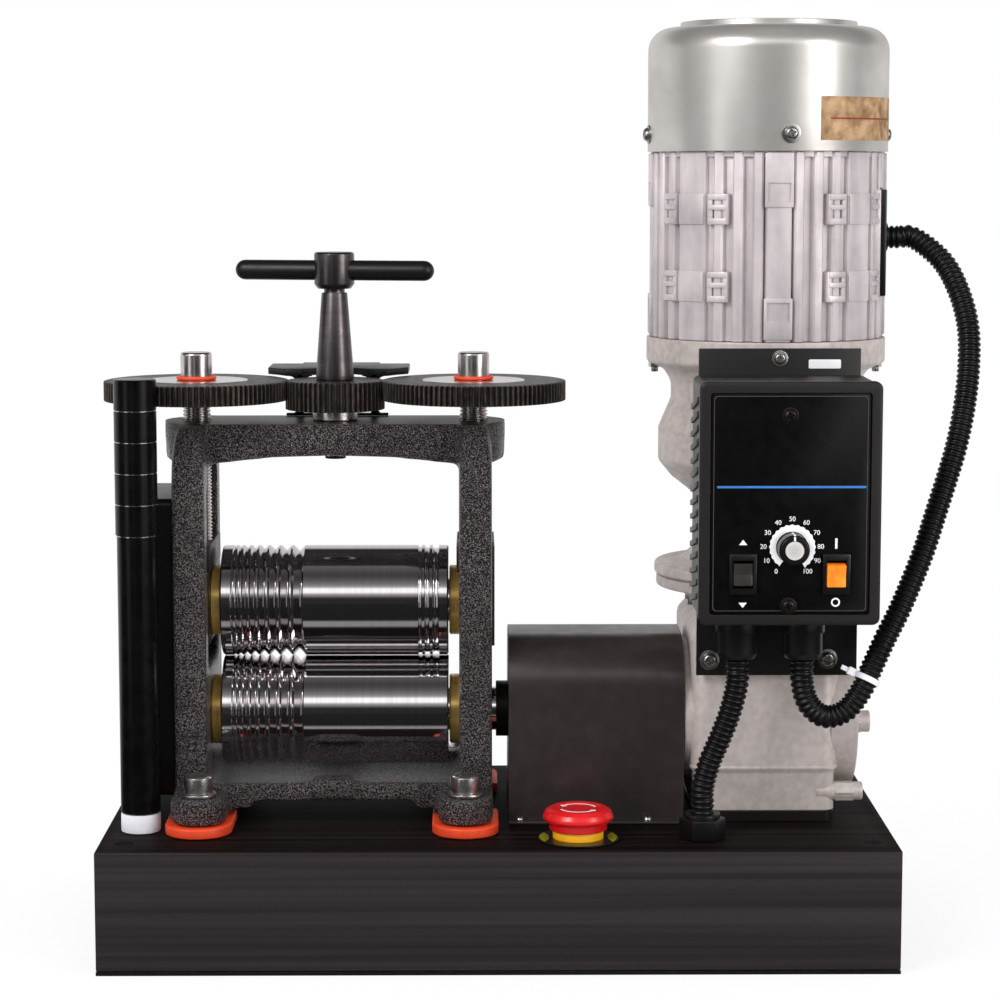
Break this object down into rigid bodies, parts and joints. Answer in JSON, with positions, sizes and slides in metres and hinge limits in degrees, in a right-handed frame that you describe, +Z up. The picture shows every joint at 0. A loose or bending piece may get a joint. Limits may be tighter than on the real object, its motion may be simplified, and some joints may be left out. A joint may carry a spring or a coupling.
{
  "type": "jewellers rolling mill",
  "caption": "Motor-driven bench rolling mill with grooved steel rolls, geared tee-handle roll adjustment, vertical gear motor and control box on a black box base.",
  "frame": {"origin": "middle of the underside of the box base", "axes": "+X to the machine's right, +Y to its rear, +Z up; the operator stands at -Y"},
  "size_m": [0.4952, 0.2371, 0.5184],
  "materials": {
    "black_base": "black box base with long horizontal brush marks",
    "black_sheet": "satin black coated sheet",
    "frame_casting": "dark grey paint with a fine hammered texture",
    "polished_steel": "ground and polished roll steel",
    "turned_steel": "turned bright steel",
    "plated_steel": "zinc-plated bolts",
    "dark_steel": "blackened steel with bright worn edges",
    "bronze": "oiled bearing bronze",
    "orange_rubber": "matt orange rubber",
    "black_plastic": "moulded black plastic",
    "box_plastic": "grained black plastic with ribbed sides",
    "panel_black": "matt black panel with white print and a blue line",
    "grip_black": "black tube with a ringed grip",
    "white_nylon": "white nylon",
    "cast_aluminium": "bead-blasted cast aluminium",
    "motor_casing": "finned cast aluminium",
    "galvanised_sheet": "zinc-coated pressed sheet",
    "red_plastic": "red moulded push button",
    "yellow_plastic": "yellow plastic disc",
    "orange_lamp": "translucent orange lamp rocker",
    "hose_black": "black ribbed conduit"
  },
  "bodies": {
    "root": {"base_shell": "black_base", "base_bottom_plate": "black_base", "power_inlet": "black_plastic", "base_gland": "black_plastic", "estop_collar": "yellow_plastic", "estop_contacts": "black_plastic", "mill_frame": "frame_casting", "frame_bolt_front_left": "plated_steel", "frame_bolt_rear_left": "plated_steel", "frame_bolt_front_right": "plated_steel", "frame_bolt_rear_right": "plated_steel", "foot_pad_front_left": "orange_rubber", "foot_pad_rear_left": "orange_rubber", "foot_pad_front_right": "orange_rubber", "foot_pad_rear_right": "orange_rubber", "lower_bush_left": "bronze", "lower_bush_right": "bronze", "roll_gear_cover": "black_sheet", "spindle_bush": "bronze", "mesh_guard": "black_sheet", "lever_foot": "white_nylon", "coupling_guard": "black_sheet", "gearbox_housing": "cast_aluminium", "motor_bell": "cast_aluminium", "motor_body": "motor_casing", "fan_cover": "galvanised_sheet", "terminal_cover": "black_plastic", "control_bracket": "black_sheet", "control_box": "box_plastic", "control_panel": "panel_black", "base_hose_gland": "black_plastic", "motor_hose_gland": "black_plastic", "base_hose": "hose_black", "motor_hose": "hose_black"},
    "handle": {"handle_spindle": "dark_steel", "pinion": "dark_steel", "tee_bar": "dark_steel"},
    "carriage": {"upper_chock_left": "dark_steel", "upper_chock_right": "dark_steel", "upper_bush_left": "bronze", "upper_bush_right": "bronze"},
    "left_screw": {"pressure_screw_left": "turned_steel", "adjusting_gear_left": "dark_steel", "screw_ring_left": "orange_rubber"},
    "right_screw": {"pressure_screw_right": "turned_steel", "adjusting_gear_right": "dark_steel", "screw_ring_right": "orange_rubber"},
    "lower_roll_set": {"lower_roll": "polished_steel", "lower_roll_gear": "dark_steel", "drive_coupling": "dark_steel", "output_gear": "dark_steel"},
    "upper_roll_set": {"upper_roll": "polished_steel", "upper_roll_gear": "dark_steel"},
    "rotor": {"motor_rotor": "dark_steel"},
    "stop_plunger": {"estop_plunger": "black_plastic"},
    "stop_button": {"estop_button": "red_plastic"},
    "direction_switch": {"direction_rocker": "black_plastic"},
    "power_switch": {"power_rocker": "orange_lamp"},
    "knob": {"speed_knob": "black_plastic"},
    "lever": {"lever_tube": "grip_black"}
  },
  "joints": [
    {"name": "handle_turn", "type": "hinge", "parent": "root", "child": "handle", "pos_m": [-0.0924, 0, 0.3788], "axis": [0, 0, 1], "range_deg": [-1820, 95]},
    {"name": "carriage_lift", "type": "slide", "parent": "root", "child": "carriage", "axis": [0, 0, 1], "range_m": [-0.00026, 0.00529]},
    {"name": "left_screw_turn", "type": "hinge", "parent": "carriage", "child": "left_screw", "pos_m": [-0.17133, 0, 0.3], "axis": [0, 0, 1], "range_deg": [-60, 960]},
    {"name": "right_screw_turn", "type": "hinge", "parent": "carriage", "child": "right_screw", "pos_m": [-0.01347, 0, 0.3], "axis": [0, 0, 1], "range_deg": [-60, 960]},
    {"name": "motor_spin", "type": "hinge", "parent": "root", "child": "rotor", "pos_m": [0.155, 0.021, 0.4], "axis": [0, 0, 1], "continuous": true},
    {"name": "lower_roll_spin", "type": "hinge", "parent": "root", "child": "lower_roll_set", "pos_m": [-0.0924, 0, 0.126], "axis": [1, 0, 0], "continuous": true},
    {"name": "upper_roll_spin", "type": "hinge", "parent": "carriage", "child": "upper_roll_set", "pos_m": [-0.0924, 0, 0.1895], "axis": [1, 0, 0], "continuous": true},
    {"name": "stop_press", "type": "slide", "parent": "root", "child": "stop_plunger", "axis": [0, 0, -1], "range_m": [0, 0.004], "stiffness_N_per_m": 800, "springref_m": -0.002},
    {"name": "stop_twist", "type": "hinge", "parent": "stop_plunger", "child": "stop_button", "pos_m": [0.044, -0.082, 0.085], "axis": [0, 0, 1], "range_deg": [-45, 0], "stiffness_Nm_per_rad": 0.05, "springref_deg": 5.73},
    {"name": "direction_tip", "type": "hinge", "parent": "root", "child": "direction_switch", "pos_m": [0.1308, -0.1056, 0.2198], "axis": [1, 0, 0], "range_deg": [-10, 10]},
    {"name": "power_tip", "type": "hinge", "parent": "root", "child": "power_switch", "pos_m": [0.1809, -0.1056, 0.2198], "axis": [1, 0, 0], "range_deg": [-16, 0]},
    {"name": "speed_turn", "type": "hinge", "parent": "root", "child": "knob", "pos_m": [0.157, -0.115, 0.2342], "axis": [0, 1, 0], "range_deg": [-140, 140]},
    {"name": "lever_lift", "type": "slide", "parent": "root", "child": "lever", "axis": [0, 0, 1], "range_m": [0, 0.12]}
  ],
  "couplings": [
    {"joint": "handle_turn", "follows": "carriage_lift", "rad_per_m": -5934.1},
    {"joint": "left_screw_turn", "follows": "carriage_lift", "rad_per_m": 3141.6},
    {"joint": "right_screw_turn", "follows": "carriage_lift", "rad_per_m": 3141.6},
    {"joint": "lower_roll_spin", "follows": "motor_spin", "ratio": 0.02},
    {"joint": "upper_roll_spin", "follows": "motor_spin", "ratio": -0.02}
  ]
}
